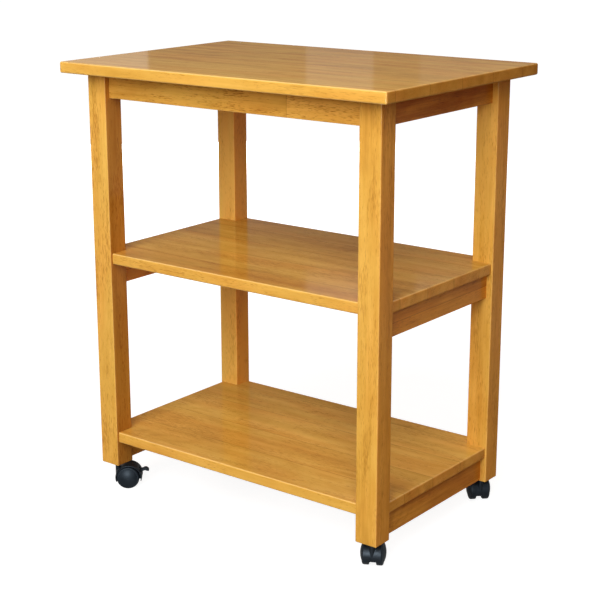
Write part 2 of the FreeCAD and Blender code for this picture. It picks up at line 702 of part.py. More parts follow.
def make_hood(corner, x, y, heading):
    """Moulded hood round the wheels, with a stem boss in front and a wheel well each side of a web."""
    body = new_body(f"{corner}_caster_hood", x, y, "0", heading)
    side = new_sketch(body, f"{corner}_hood_side", "XZ_Plane")
    outline(side, [
        round_axle(HOOD_RADIUS, "(-hood_skirt_angle)", -1) + (f"-{HOOD_RADIUS}",),
        from_axle(f"-{HOOD_RADIUS}", "0") + (f"-{HOOD_RADIUS}",),
        from_axle("0", HOOD_RADIUS),
        from_axle("hood_back_room", HOOD_RADIUS) + (f"-{HOOD_RADIUS}",),
        from_axle(f"(hood_back_room + {HOOD_RADIUS} * cos(hood_tail_angle))",
                  f"(-{HOOD_RADIUS} * sin(hood_tail_angle))"),
        round_axle("hood_hub_radius", "(-hood_tail_angle)") + ("-hood_hub_radius",),
        round_axle("hood_hub_radius", "(-hood_skirt_angle)", -1),
    ])
    pad(side, "hood_width", symmetric=True)

    def outer(edge):
        point = middle_of(edge)
        reach = math.hypot(point.x - number("caster_trail"), point.z - number(WHEEL_RADIUS))
        return near(point.y, "hood_width / 2") and reach > number(HOOD_INSIDE)

    round_edges(body, "hood_edge_radius", outer)

    boss = new_sketch(body, f"{corner}_stem_boss", "XY_Plane", ("0", "0", SWIVEL_FACE))
    circles(boss, "boss_diameter", [("0", "0")])
    pad(boss, f"({SWIVEL_FACE} - {WHEEL_RADIUS})", reverse=True)
    for side_y in (-1, 1):
        well = new_sketch(body, f"{corner}_wheel_well", "XZ_Plane", ("0", "0", f"{side_y} * hood_web / 2"))
        turn_back = (f"-{HOOD_INSIDE}",)
        outline(well, [
            from_axle("0", f"-{HOOD_INSIDE}") + turn_back,
            from_axle(f"-{HOOD_INSIDE}", "0") + turn_back,
            from_axle("0", HOOD_INSIDE),
            from_axle("hood_back_room", HOOD_INSIDE) + turn_back,
            from_axle(f"(hood_back_room + {HOOD_INSIDE})", "0") + turn_back,
            from_axle("hood_back_room", f"-{HOOD_INSIDE}"),
        ])
        pocket(well, reverse=side_y > 0)

    bore = new_sketch(body, f"{corner}_stem_bore", "XY_Plane", ("0", "0", SWIVEL_FACE))
    circles(bore, "(pin_diameter + 2 * fit_gap)", [("0", "0")])
    pocket(bore, "pin_length + pin_end_gap")
    axle = new_sketch(body, f"{corner}_axle_bore", "XZ_Plane")
    circles(axle, "(axle_diameter + 2 * fit_gap)", [from_axle("0", "0")])
    pocket(axle, symmetric=True)
    if corner in BRAKED:
        cut_lever_slot(body, corner)


def cut_lever_slot(body, corner):
    """Slot for the lever through web and back wall, its pin hole, and room for the shoe in the web."""
    slot = new_sketch(body, f"{corner}_lever_slot", "XZ_Plane")
    low_x, low_z = from_axle("(pivot_back - lever_eye_radius - lever_slot_gap)", "(pivot_rise - slot_rise)")
    high_x, high_z = from_axle(f"(2 * {HOOD_RADIUS})", "(pivot_rise + slot_rise)")
    rectangle(slot, low_x, high_x, low_z, high_z)
    pocket(slot, "lever_root_width + 2 * lever_slot_gap", symmetric=True)
    pin = new_sketch(body, f"{corner}_pivot_hole", "XZ_Plane")
    circles(pin, "(pivot_pin_diameter + 2 * fit_gap)", [from_axle("pivot_back", "pivot_rise")])
    pocket(pin, symmetric=True)
    room = new_sketch(body, f"{corner}_shoe_room", "XZ_Plane")
    inner = "(pivot_back + lever_eye_radius)"
    low = f"(({WHEEL_RADIUS} + shoe_gap) * sin(shoe_start) - shoe_room)"
    high = f"(({WHEEL_RADIUS} + shoe_gap + shoe_thickness) * sin(shoe_end) + shoe_room)"

    def on_wall(rise):
        return from_axle(f"(hood_back_room + sqrt({HOOD_INSIDE} ^ 2 - {rise} ^ 2))", rise)

    outline(room, [from_axle(inner, low), on_wall(low) + (HOOD_INSIDE,), on_wall(high),
                   from_axle(inner, high)])
    pocket(room, "hood_web", symmetric=True)


def make_wheel(corner, side_name, side, x, y, heading):
    """Dished wheel with a hub on the axle, a rounded tread and a domed outer face."""
    body = new_body(f"{corner}_{side_name}_wheel", x, y, "0", heading)
    axle = ("caster_trail", "0", WHEEL_RADIUS)
    profile = new_sketch(body, f"{corner}_{side_name}_profile", "XY_Plane", axle)
    inner = "(wheel_gap / 2)"
    rim = "(wheel_gap / 2 + wheel_width)"
    disc = f"({rim} - wheel_wall)"
    bore = "(axle_diameter / 2 + fit_gap)"
    bore_end = "(axle_length / 2 + axle_end_gap)"
    hub = "(wheel_hub_diameter / 2)"
    dish = f"({WHEEL_RADIUS} - wheel_wall)"
    inner_shoulder = f"({WHEEL_RADIUS} - wheel_edge_radius)"
    rim_shoulder = f"({WHEEL_RADIUS} - wheel_rim_radius)"
    face = "(wheel_face_diameter / 2)"
    groove = "(wheel_face_diameter / 2 + wheel_groove)"
    dome_radius = f"(({face} ^ 2 + wheel_dome ^ 2) / (2 * wheel_dome))"
    corners = [
        (bore, inner), (hub, inner), (hub, disc), (dish, disc), (dish, inner),
        (inner_shoulder, inner, "wheel_edge_radius"),
        (WHEEL_RADIUS, f"({inner} + wheel_edge_radius)"),
        (WHEEL_RADIUS, f"({rim} - wheel_rim_radius)", "wheel_rim_radius"), (rim_shoulder, rim),
        (groove, rim), (groove, f"({rim} - wheel_groove)"), (face, f"({rim} - wheel_groove)"),
        (face, rim, dome_radius), ("0", f"({rim} + wheel_dome)"), ("0", bore_end), (bore, bore_end),
    ]
    if side < 0:
        corners = [(out, f"-{across}") + tuple(f"-{radius}" for radius in bend)
                   for out, across, *bend in corners]
    outline(profile, corners)
    revolve(profile)


def make_axle(corner, x, y, heading):
    body = new_body(f"{corner}_caster_axle", x, y, "0", heading)
    section = new_sketch(body, f"{corner}_axle_section", "XZ_Plane")
    circles(section, "axle_diameter", [from_axle("0", "0")])
    pad(section, "axle_length", symmetric=True)


def make_brake(corner, x, y, heading):
    """Lever with an eye on its pin, a curled foot pad and a shoe across both treads."""
    body = new_body(f"{corner}_brake_lever", x, y, "0", heading)
    inside = "(lever_curl_radius - lever_pad_thickness)"

    def round_curl(radius, angle):
        return from_axle(f"(lever_curl_back + {radius} * cos({angle}))",
                         f"(lever_curl_rise + {radius} * sin({angle}))")

    eye = circles(new_sketch(body, f"{corner}_lever_eye", "XZ_Plane"), "(2 * lever_eye_radius)",
                  [from_axle("pivot_back", "pivot_rise")])
    pad(eye, "lever_root_width", symmetric=True)
    arm = new_sketch(body, f"{corner}_lever_arm", "XZ_Plane")
    outline(arm, [from_axle("pivot_back", "(pivot_rise + lever_thickness / 2)"),
                  from_axle("pivot_back", "(pivot_rise - lever_thickness / 2)"),
                  round_curl(inside, "lever_pad_start"),
                  round_curl("lever_curl_radius", "lever_pad_start")])
    pad(arm, "lever_root_width", symmetric=True)
    foot = new_sketch(body, f"{corner}_lever_pad", "XZ_Plane")
    outline(foot, [round_curl("lever_curl_radius", "lever_pad_start") + ("-lever_curl_radius",),
                   round_curl("lever_curl_radius", "lever_pad_end"),
                   round_curl(inside, "lever_pad_end") + (inside,),
                   round_curl(inside, "lever_pad_start")])
    pad(foot, "lever_pad_width", symmetric=True)

    def upper(edge):
        bend = edge.Curve
        return bend.TypeId == "Part::GeomCircle" and near(bend.Radius, "lever_curl_radius")

    round_edges(body, "lever_edge_radius", upper)

    shoe = new_sketch(body, f"{corner}_brake_shoe", "XZ_Plane")
    near_tread = f"({WHEEL_RADIUS} + shoe_gap)"
    far_side = f"({WHEEL_RADIUS} + shoe_gap + shoe_thickness)"
    outline(shoe, [round_axle(near_tread, "shoe_start"), round_axle(far_side, "shoe_start"),
                   round_axle(far_side, "shoe_end"), round_axle(near_tread, "shoe_end")])
    pad(shoe, "shoe_width", symmetric=True)
    hole = new_sketch(body, f"{corner}_lever_hole", "XZ_Plane")
    circles(hole, "(pivot_pin_diameter + 2 * fit_gap)", [from_axle("pivot_back", "pivot_rise")])
    pocket(hole, symmetric=True)

    body = new_body(f"{corner}_lever_pin", x, y, "0", heading)
    section = circles(new_sketch(body, f"{corner}_lever_pin_section", "XZ_Plane"), "pivot_pin_diameter",
                      [from_axle("pivot_back", "pivot_rise")])
    pad(section, "hood_web", symmetric=True)


def make_caster(corner, side_x, side_y):
    x = f"{side_x} * {LEG_X}"
    y = f"{side_y} * {LEG_Y}"
    heading = f"heading_{corner}"
    make_stem(corner, x, y)
    make_hood(corner, x, y, heading)
    make_axle(corner, x, y, heading)
    make_wheel(corner, "left", 1, x, y, heading)
    make_wheel(corner, "right", -1, x, y, heading)
    if corner in BRAKED:
        make_brake(corner, x, y, heading)


def make_frame():
    make_top()
    for corner, (side_x, side_y) in CORNERS.items():
        make_leg(f"{corner}_leg", side_x, side_y)
        make_brace(corner, side_x, side_y)
    long_screws = ["-long_apron_screw_x", "0", "long_apron_screw_x"]
    side_screws = ["-side_apron_screw_y", "side_apron_screw_y"]
    rail_screws = ["-rail_screw_y", "rail_screw_y"]
    for name, side in (("front", FRONT), ("back", BACK)):
        make_rail(f"{name}_apron", "x", "0", f"{side} * {LEG_Y}", APRON_BASE, "apron_height",
                  "apron_thickness", long_screws, -side)
    for name, side in (("left", LEFT), ("right", RIGHT)):
        x = f"{side} * {LEG_X}"
        make_rail(f"{name}_apron", "y", x, "0", APRON_BASE, "apron_height",
                  "apron_thickness", side_screws, -side)
        for level, base in (("middle", MIDDLE_RAIL_BASE), ("bottom", BOTTOM_RAIL_BASE)):
            make_rail(f"{level}_{name}_rail", "y", x, "0", base, "rail_height",
                      "rail_thickness", rail_screws)
    make_shelf("middle_shelf", MIDDLE_SHELF_BASE)
    make_shelf("bottom_shelf", BOTTOM_SHELF_BASE)
    make_dowels()
    make_screws()
    make_hanger_bolts()


def check_model():
    """Stop on a failed object, a cut that takes nothing away, or a shape that isn't sound."""
    for thing in doc.Objects:
        if {"Invalid", "Error"} & set(thing.State):
            raise RuntimeError(f"{thing.Label} failed: {thing.State}")
        if thing.TypeId != "PartDesign::Pocket":
            continue
        if thing.BaseFeature.Shape.Volume - thing.Shape.Volume < 0.01:
            raise RuntimeError(f"{thing.Label} cuts nothing")
    for piece in pieces:
        if piece.Shape.isNull() or not piece.Shape.isValid():
            raise RuntimeError(f"{piece.Label} has no sound shape")


make_frame()
for corner, (side_x, side_y) in CORNERS.items():
    make_caster(corner, side_x, side_y)
make_grip_rings()
doc.recompute()
check_model()
os.makedirs("parts", exist_ok=True)
for piece in pieces:
    piece.Shape.exportStep(f"parts/{piece.Label}.step")
print(len(pieces), "pieces")
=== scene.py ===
import json
import math

import bpy
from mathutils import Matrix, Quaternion, Vector

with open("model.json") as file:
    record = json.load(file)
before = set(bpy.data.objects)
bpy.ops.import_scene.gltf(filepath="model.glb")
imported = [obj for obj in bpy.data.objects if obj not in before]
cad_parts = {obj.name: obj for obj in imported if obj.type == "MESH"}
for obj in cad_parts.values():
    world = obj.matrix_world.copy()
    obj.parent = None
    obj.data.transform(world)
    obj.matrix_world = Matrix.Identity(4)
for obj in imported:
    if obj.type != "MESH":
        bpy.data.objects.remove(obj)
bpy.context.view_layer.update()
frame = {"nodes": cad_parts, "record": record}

# Camera: eye and aim in metres, roll in degrees, lens and sensor in millimetres, shift in picture widths
CAMERA_EYE = Vector((1.4881, -1.9378, 1.0393))
CAMERA_AIM = Vector((-0.0374, -0.0261, 0.3707))
CAMERA_ROLL = -0.375
CAMERA_LENS = 88.25
CAMERA_SENSOR = 36.0
CAMERA_SHIFT = (0.0506, -0.011)

# Lamps: name, place, width, level, and whether it shows in reflections alone
CART_MIDDLE = Vector((0.0, 0.0, 0.36))
LAMPS = [
    ("key", Vector((1.15, -3.1, 2.6)), 3.4, 1.45, False),
    ("fill", Vector((-2.6, 2.8, 0.55)), 1.1, 0.7, False),
    ("glint", Vector((1.3, -2.7, 0.5)), 0.3, 0.65, True),
]
SKY_COLOUR = (0.12, 0.098, 0.075, 1.0)
WHITE = (1.0, 1.0, 1.0, 1.0)

# Floor: size, colour that it throws back at the cart, and grey that takes the shadow
FLOOR_SIZE = 30.0
FLOOR_COLOUR = (0.25, 0.22, 0.19, 1.0)
FLOOR_SHADE = (0.32, 0.32, 0.32, 1.0)

# Glow of the floor near the cart, the painted shade that reflections show near it, and the way to full
# white
FLOOR_GLOW = 0.88
FLOOR_PAINTED_SHADE_IN_MIRRORS = 0.7
FLOOR_NEAR = 0.7
FLOOR_FAR = 1.4

# Wall of the studio that shows in the lacquer, in bands: low edge, high edge and level
STUDIO_RADIUS = 5.0
STUDIO_SIDES = 48
STUDIO_BANDS = [
    (0.0, 1.5, 0.33),
    (1.5, 2.6, 0.11),
]

# Pale cards behind the cart: left and right edge in degrees off its middle, and level
CARD_REACH = 3.9
CARD_LOW = 0.87
CARD_HIGH = 1.3
CARDS = [
    (-11.8, -5.7, 0.85),
    (0.4, 3.0, 0.55),
    (4.8, 12.2, 0.42),
]

# Stained wood, from its darkest figure to its palest, and what goes over it, with a painted highlight for
# the rounded edges and a painted shade, redder, for the sides towards X
WOOD_DARK = (0.40, 0.150, 0.014, 1.0)
WOOD_MIDDLE = (0.675, 0.355, 0.056, 1.0)
WOOD_PALE = (0.86, 0.51, 0.108, 1.0)
EDGE_HIGHLIGHT = (0.94, 0.68, 0.26, 1.0)
BLUSH_TINT = (1.0, 0.89, 0.83, 1.0)
FLECK_TINT = (0.50, 0.33, 0.18, 1.0)
SEAM_TINT = (0.45, 0.30, 0.16, 1.0)
SIDE_SHADE = (1.0, 0.78, 0.60)
BLUSH_WEIGHT = 0.8
SEAM_WEIGHT = 0.6

# Noises in the figure: scale along the grain, scale across it, detail and roughness
FIGURE = {
    "heart_sway": (2.6, 9.0, 2.0, 0.5),
    "heart_depth": (1.6, 2.0, 1.0, 0.5),
    "ring_patch": (4.0, 30.0, 1.0, 0.5),
    "cloud": (5.0, 42.0, 2.0, 0.5),
    "mottle": (30.0, 75.0, 2.0, 0.5),
    "streak": (9.0, 300.0, 3.0, 0.6),
    "hair": (22.0, 1200.0, 2.0, 0.6),
    "pore_crowd": (8.0, 55.0, 1.0, 0.5),
    "pore_dash": (95.0, 1000.0, 1.0, 0.5),
    "blush": (5.0, 24.0, 1.0, 0.5),
}

# What each part of the figure adds to the tone, from 0 at the darkest to 1 at the palest
BASE_TONE = 0.10
BOARD_TONE = 0.20
CLOUD_TONE = 0.80
MOTTLE_TONE = 0.30
STREAK_TONE = 0.50
HAIR_TONE = 0.24
RING_TONE = -0.12

# Range over which each part of the figure comes in, and how far the pores crowd
RING_PATCH_RANGE = (0.5, 0.7)
PORE_RANGE = (0.84, 0.98)
BLUSH_RANGE = (0.40, 0.64)
PORE_CROWDING = 0.5

# Growth rings: step from ring to ring, sway and depth of the heart, and how thin the dark lines are
RING_STEP = 0.0062
HEART_SWAY = 0.10
HEART_DEPTH = 0.2
RING_SHARPNESS = 2.5

# Boards: spread of their places in the tree, change at a splice, and half the width of a seam
TREE_LENGTH = 9.0
TREE_WIDTH = 5.0
SPLICE_STEP = 0.37
SEAM_HALF = 0.00035

# Range of a normal's share along an axis: flat face, rounded edge, face that turns down, and edge that
# turns sideways, with the most and least of the painted highlight on rounded edges
FLAT_FACE = (0.55, 0.8)
ROUNDED_EDGE = (0.76, 0.96)
LOWER_EDGE = (-0.5, -0.1)
HIGHLIGHT_SIDE = (0.2, 0.6)
HIGHLIGHT_MOST = 0.55
HIGHLIGHT_LEAST = 0.2

# Relief of the wood, in parts of its depth in metres
PORE_RELIEF = -0.6
STREAK_RELIEF = 0.35
SEAM_RELIEF = -0.8
WOOD_RELIEF_STRENGTH = 0.25
WOOD_RELIEF_DEPTH = 0.0004

# Roughness of the wood from cloud to cloud, and the range that most of a noise lies in
WOOD_ROUGHNESS = (0.2, 0.3)
NOISE_RANGE = (0.3, 0.7)

# Weight of the lacquer: polished face of the top, of the shelves, and all else
TOP_COAT = 0.4
SHELF_COAT = 0.75
FRAME_COAT = 0.15

# Order of the axes in a wooden piece: along the grain, across its face, into its depth
ALONG_X_FLAT = (0, 1, 2)
ALONG_X_UPRIGHT = (0, 2, 1)
ALONG_Y = (1, 2, 0)
ALONG_Z = (2, 0, 1)

# Wooden pieces: what each of them tells wood(). Their tone, face and side numbers paint light and shade on
# them
WOODEN = {
    "top_panel": dict(order=ALONG_X_FLAT, coat=TOP_COAT, face=-0.05, side=0.79, grain=0.4, flecks=0.4,
                      board=0.091, board_start=-0.107),
    "middle_shelf": dict(order=ALONG_X_FLAT, coat=SHELF_COAT, tone=0.06, face=-0.16, side=0.9, grain=0.45,
                         flecks=0.6, board=0.078, board_start=0.031),
    "bottom_shelf": dict(order=ALONG_X_FLAT, coat=SHELF_COAT, tone=0.14, face=-0.11, side=0.9, grain=0.45,
                         flecks=0.6, board=0.085, board_start=-0.018),
    "front_apron": dict(order=ALONG_X_UPRIGHT, tone=-0.03, flecks=0.9, splice=0.117),
    "back_apron": dict(order=ALONG_X_UPRIGHT, splice=-0.094),
    "left_apron": dict(order=ALONG_Y),
    # Painted shade: the right apron and right rails are darker and redder than the left ones
    "right_apron": dict(order=ALONG_Y, tone=-0.38, side=1.25),
    "middle_left_rail": dict(order=ALONG_Y),
    "middle_right_rail": dict(order=ALONG_Y, tone=-0.32, side=1.12),
    "bottom_left_rail": dict(order=ALONG_Y),
    "bottom_right_rail": dict(order=ALONG_Y, tone=-0.22, side=1.06),
    # Painted shade on the sides of the front left leg
    "front_left_leg": dict(order=ALONG_Z, tone=-0.06, side=0.66, flecks=0.65),
    "front_right_leg": dict(order=ALONG_Z),
    # Painted light: the back left leg is paler than the other legs
    "back_left_leg": dict(order=ALONG_Z, tone=0.5),
    "back_right_leg": dict(order=ALONG_Z),
}
SEED_STEP = 17.31

# Plastic of the casters: colour, colour where it is rubbed, roughness, and scale of the mould grain
HOOD_PLASTIC = dict(colour=(0.003, 0.004, 0.006, 1.0), rubbed_colour=(0.0082, 0.0096, 0.0124, 1.0),
                    roughness=(0.36, 0.53), grain=2600.0)
WHEEL_PLASTIC = dict(colour=(0.003, 0.005, 0.008, 1.0), rubbed_colour=(0.0082, 0.011, 0.0152, 1.0),
                     roughness=(0.38, 0.55), grain=1800.0)
PLASTIC_SHEEN = (0.68, 0.84, 1.0, 1.0)
RUB_SCALE = 70.0
RUB_RANGE = (0.45, 0.8)

# Zinc of the fasteners and braces: colours of its spangle, roughness, and scales
ZINC_COLOUR = (0.60, 0.60, 0.59, 1.0)
ZINC_DULL = (0.432, 0.432, 0.4248, 1.0)
ZINC_ROUGHNESS = (0.26, 0.46)
SPANGLE_SCALE = 260.0
SPANGLE_WEIGHT = 0.6
DRAW_MARK_SCALES = (120.0, 120.0, 2600.0)

# Turned wood of the dowels
DOWEL_DARK = (0.50, 0.34, 0.18, 1.0)
DOWEL_PALE = (0.66, 0.50, 0.31, 1.0)
DOWEL_SCALE = 300.0


class Shader:
    """Nodes of one material or world, with short calls for them."""

    def __init__(self, owner):
        self.owner = owner
        owner.use_nodes = True
        self.tree = owner.node_tree
        self.tree.nodes.clear()

    def feed(self, socket, value):
        """Link a socket, or set its constant."""
        if isinstance(value, bpy.types.NodeSocket):
            self.tree.links.new(value, socket)
        else:
            socket.default_value = value

    def node(self, kind, inputs, **settings):
        """New node with its settings and inputs."""
        item = self.tree.nodes.new(f"ShaderNode{kind}")
        for name, value in settings.items():
            setattr(item, name, value)
        for key, value in inputs.items():
            self.feed(item.inputs[key], value)
        return item

    def math(self, operation, *values):
        """Result of a math node."""
        return self.node("Math", dict(enumerate(values)), operation=operation).outputs[0]

    def times(self, value, factor):
        """Product of two values."""
        return self.math("MULTIPLY", value, factor)

    def total(self, *values):
        """Sum of several values."""
        result = values[0]
        for value in values[1:]:
            result = self.math("ADD", result, value)
        return result

    def swing(self, noise, amount):
        """Noise carried to both sides of zero, over an amount in all."""
        return self.math("MULTIPLY_ADD", noise, amount, -amount / 2)

    def remap(self, value, low, high, to_low=0.0, to_high=1.0):
        """Value carried from one range to another, held at its ends."""
        places = {"Value": value, "From Min": low, "From Max": high, "To Min": to_low, "To Max": to_high}
        return self.node("MapRange", places).outputs["Result"]

    def split(self, value):
        """Three parts of a vector."""
        return self.node("SeparateXYZ", {0: value}).outputs

    def vector(self, x, y, z):
        """Vector of three values."""
        return self.node("CombineXYZ", {0: x, 1: y, 2: z}).outputs[0]

    def place(self):
        """Place on the piece, in metres."""
        return self.node("TexCoord", {}).outputs["Object"]

    def noise(self, place, scales, detail=2.0, roughness=0.5):
        """Noise over a place, with its own scale along each axis."""
        stretched = self.node("VectorMath", {0: place, 1: scales}, operation="MULTIPLY").outputs[0]
        inputs = {"Vector": stretched, "Scale": 1.0, "Detail": detail, "Roughness": roughness}
        return self.node("TexNoise", inputs).outputs["Fac"]

    def even_noise(self, place, scale, detail=2.0, roughness=0.5):
        """Noise over a place, with the same scale all round."""
        return self.noise(place, (scale, scale, scale), detail, roughness)

    def mix(self, factor, first, second, blend="MIX"):
        """Mix of two colours. The node repeats its socket names, so they go by number."""
        item = self.node("Mix", {0: factor, 6: first, 7: second}, data_type="RGBA", blend_type=blend)
        return item.outputs[2]

    def tint(self, colour, tint, factor):
        """Colour, tinted where the factor says."""
        return self.mix(factor, colour, tint, "MULTIPLY")

    def ramp(self, factor, *stops):
        """Colours in even steps over a factor."""
        item = self.node("ValToRGB", {"Fac": factor})
        elements = item.color_ramp.elements
        while len(elements) < len(stops):
            elements.new(0.5)
        for index, colour in enumerate(stops):
            elements[index].position = index / (len(stops) - 1)
            elements[index].color = colour
        return item.outputs["Color"]

    def bump(self, height, strength, distance):
        """Normal of a height over the surface."""
        inputs = {"Height": height, "Strength": strength, "Distance": distance}
        return self.node("Bump", inputs).outputs["Normal"]

    def finish(self, inputs):
        """Close the material with a principled surface."""
        surface = self.node("BsdfPrincipled", inputs)
        self.node("OutputMaterial", {"Surface": surface.outputs[0]})
        return self.owner


def seam_line(sh, distance):
    """Thin line where the distance to a seam runs out."""
    return sh.remap(distance, SEAM_HALF, 2 * SEAM_HALF, 1.0, 0.0)


def glued_boards(sh, along, across, deep, seed, board, board_start, splice):
    """Boards side by side, each from its own part of a tree.

    Gives the place in the tree, three chances that differ from board to board, the share of a
    board's width that has been crossed, and the seams."""
    count = sh.math("DIVIDE", sh.math("SUBTRACT", across, board_start), board)
    number = sh.math("FLOOR", count)
    crossed = sh.math("SUBTRACT", count, number)
    nearer = sh.math("MINIMUM", crossed, sh.math("SUBTRACT", 1.0, crossed))
    seam = seam_line(sh, sh.times(nearer, board))
    key = sh.math("ADD", number, seed)
    if splice is not None:
        beyond = sh.math("GREATER_THAN", along, splice)
        key = sh.math("ADD", key, sh.times(beyond, SPLICE_STEP))
        to_splice = sh.math("ABSOLUTE", sh.math("SUBTRACT", along, splice))
        seam = sh.math("MAXIMUM", seam, seam_line(sh, to_splice))
    colour = sh.node("TexWhiteNoise", {"W": key}, noise_dimensions="1D").outputs["Color"]
    chances = sh.node("SeparateColor", {0: colour}).outputs
    here = sh.vector(sh.math("MULTIPLY_ADD", chances[0], TREE_LENGTH, along),
                     sh.math("MULTIPLY_ADD", chances[1], TREE_WIDTH, across),
                     sh.math("MULTIPLY_ADD", chances[2], TREE_WIDTH, deep))
    return here, chances, crossed, seam


def growth_rings(sh, noise, crossed, heart_place, deep, board):
    """Faint growth rings, in patches, round a heart that wanders along the board."""
    sway = sh.swing(noise["heart_sway"], HEART_SWAY)
    off_heart = sh.math("MULTIPLY_ADD", sh.math("SUBTRACT", crossed, heart_place), board, sway)
    depth = sh.math("MULTIPLY_ADD", noise["heart_depth"], HEART_DEPTH, deep)
    squares = sh.math("ADD", sh.math("POWER", off_heart, 2.0), sh.math("POWER", depth, 2.0))
    turn = sh.times(sh.math("SQRT", squares), 2 * math.pi / RING_STEP)
    wave = sh.math("MULTIPLY_ADD", sh.math("SINE", turn), 0.5, 0.5)
    patch = sh.remap(noise["ring_patch"], *RING_PATCH_RANGE)
    return sh.times(sh.math("POWER", wave, RING_SHARPNESS), patch)


def lacquer(sh, upward, coat):
    """Weight of the lacquer. A polished panel has more on its upper face, and none underneath."""
    if coat == FRAME_COAT:
        return coat
    plain = sh.remap(upward, *LOWER_EDGE, 0.0, FRAME_COAT)
    polish = sh.times(sh.remap(upward, *FLAT_FACE), coat - FRAME_COAT)
    return sh.total(plain, polish)


def wood(name, order, seed, coat=FRAME_COAT, tone=0.0, face=0.0, side=1.0, grain=1.0, flecks=0.5,
         board=0.2, board_start=0.0, splice=None):
    """Lacquered wood of edge-glued boards.

    coat is the weight of the lacquer on its upper face. tone makes the piece paler, or darker if
    below zero, and face paints light or shade on its upper and lower face alone. side paints shade,
    redder, on the sides towards X, and the rounded edges get a painted highlight. grain and flecks
    are the strength of the fibre streaks and the dark pores. board is a board's width across the
    grain, and board_start the place of one seam. splice is the place along the grain where two
    lengths are joined end to end."""
    sh = Shader(bpy.data.materials.new(name))
    coordinates = sh.node("TexCoord", {}).outputs
    axes = sh.split(coordinates["Object"])
    along, across, deep = (axes[index] for index in order)
    normal = sh.split(coordinates["Normal"])
    facing = [sh.math("ABSOLUTE", part) for part in normal]
    squarest = sh.math("MAXIMUM", sh.math("MAXIMUM", facing[0], facing[1]), facing[2])
    rounded_edge = sh.remap(squarest, *ROUNDED_EDGE, 1.0, 0.0)

    here, chances, crossed, seam = glued_boards(sh, along, across, deep, seed, board, board_start, splice)
    noise = {part: sh.noise(here, (lengthways, sideways, sideways), detail, roughness)
             for part, (lengthways, sideways, detail, roughness) in FIGURE.items()}
    ring = growth_rings(sh, noise, crossed, chances[1], deep, board)
    pores = sh.math("MULTIPLY_ADD", noise["pore_crowd"], PORE_CROWDING, noise["pore_dash"])
    fleck = sh.remap(pores, *PORE_RANGE)
    blush = sh.remap(noise["blush"], *BLUSH_RANGE)
    # face adds painted light or shade to the upper and lower faces
    figure = sh.total(BASE_TONE + tone,
                      sh.times(sh.remap(facing[2], *FLAT_FACE), face),
                      sh.times(chances[0], BOARD_TONE),
                      sh.times(noise["cloud"], CLOUD_TONE),
                      sh.swing(noise["mottle"], MOTTLE_TONE),
                      sh.swing(noise["streak"], STREAK_TONE * grain),
                      sh.swing(noise["hair"], HAIR_TONE * grain),
                      sh.times(ring, RING_TONE))

    # Painted shade, redder, on the faces towards X, as strong as the piece's side number
    side_shade = (*(side * channel for channel in SIDE_SHADE), 1.0)
    # Painted highlight along the rounded edges, fainter where they turn sideways
    edge_highlight = sh.times(rounded_edge, sh.remap(facing[0], *HIGHLIGHT_SIDE, HIGHLIGHT_MOST, HIGHLIGHT_LEAST))
    colour = sh.ramp(figure, WOOD_DARK, WOOD_MIDDLE, WOOD_PALE)
    colour = sh.tint(colour, BLUSH_TINT, sh.times(blush, BLUSH_WEIGHT))
    colour = sh.tint(colour, FLECK_TINT, sh.times(fleck, flecks))
    colour = sh.tint(colour, side_shade, sh.remap(facing[0], *FLAT_FACE))
    colour = sh.mix(edge_highlight, colour, EDGE_HIGHLIGHT)
    colour = sh.tint(colour, SEAM_TINT, sh.times(seam, SEAM_WEIGHT))

    relief = sh.total(sh.times(fleck, PORE_RELIEF),
                      sh.times(noise["streak"], STREAK_RELIEF),
                      sh.times(seam, SEAM_RELIEF))
    return sh.finish({
        "Base Color": colour,
        "Roughness": sh.remap(noise["cloud"], *NOISE_RANGE, *WOOD_ROUGHNESS),
        "Specular IOR Level": 0.0,
        "Coat Weight": lacquer(sh, normal[2], coat),
        "Coat Roughness": 0.11,
        "Coat IOR": 1.5,
        "Normal": sh.bump(relief, WOOD_RELIEF_STRENGTH, WOOD_RELIEF_DEPTH),
    })


def plastic(name, colour, rubbed_colour, roughness, grain):
    """Moulded black plastic with a fine mould grain and rubbed patches."""
    sh = Shader(bpy.data.materials.new(name))
    place = sh.place()
    rubbed = sh.even_noise(place, RUB_SCALE, detail=4.0, roughness=0.6)
    speck = sh.even_noise(place, grain)
    return sh.finish({
        "Base Color": sh.mix(sh.remap(rubbed, *RUB_RANGE), colour, rubbed_colour),
        "Roughness": sh.remap(rubbed, *NOISE_RANGE, *roughness),
        "Specular IOR Level": 0.4,
        "Specular Tint": PLASTIC_SHEEN,
        "Normal": sh.bump(speck, strength=0.12, distance=0.0003),
    })


def steel(name):
    """Zinc plate with a faint spangle and draw marks."""
    sh = Shader(bpy.data.materials.new(name))
    place = sh.place()
    spangle = sh.node("TexVoronoi", {"Vector": place, "Scale": SPANGLE_SCALE}).outputs["Color"]
    cell = sh.node("SeparateColor", {0: spangle}).outputs[0]
    marks = sh.noise(place, DRAW_MARK_SCALES, detail=3.0)
    return sh.finish({
        "Base Color": sh.mix(sh.times(cell, SPANGLE_WEIGHT), ZINC_COLOUR, ZINC_DULL),
        "Metallic": 1.0,
        "Roughness": sh.remap(marks, *NOISE_RANGE, *ZINC_ROUGHNESS),
        "Normal": sh.bump(marks, strength=0.08, distance=0.0002),
    })


def raw_wood(name):
    """Pale turned wood of the dowels."""
    sh = Shader(bpy.data.materials.new(name))
    fibre = sh.even_noise(sh.place(), DOWEL_SCALE, detail=4.0, roughness=0.65)
    return sh.finish({
        "Base Color": sh.ramp(fibre, DOWEL_DARK, DOWEL_PALE),
        "Roughness": 0.7,
        "Normal": sh.bump(fibre, strength=0.2, distance=0.0003),
    })


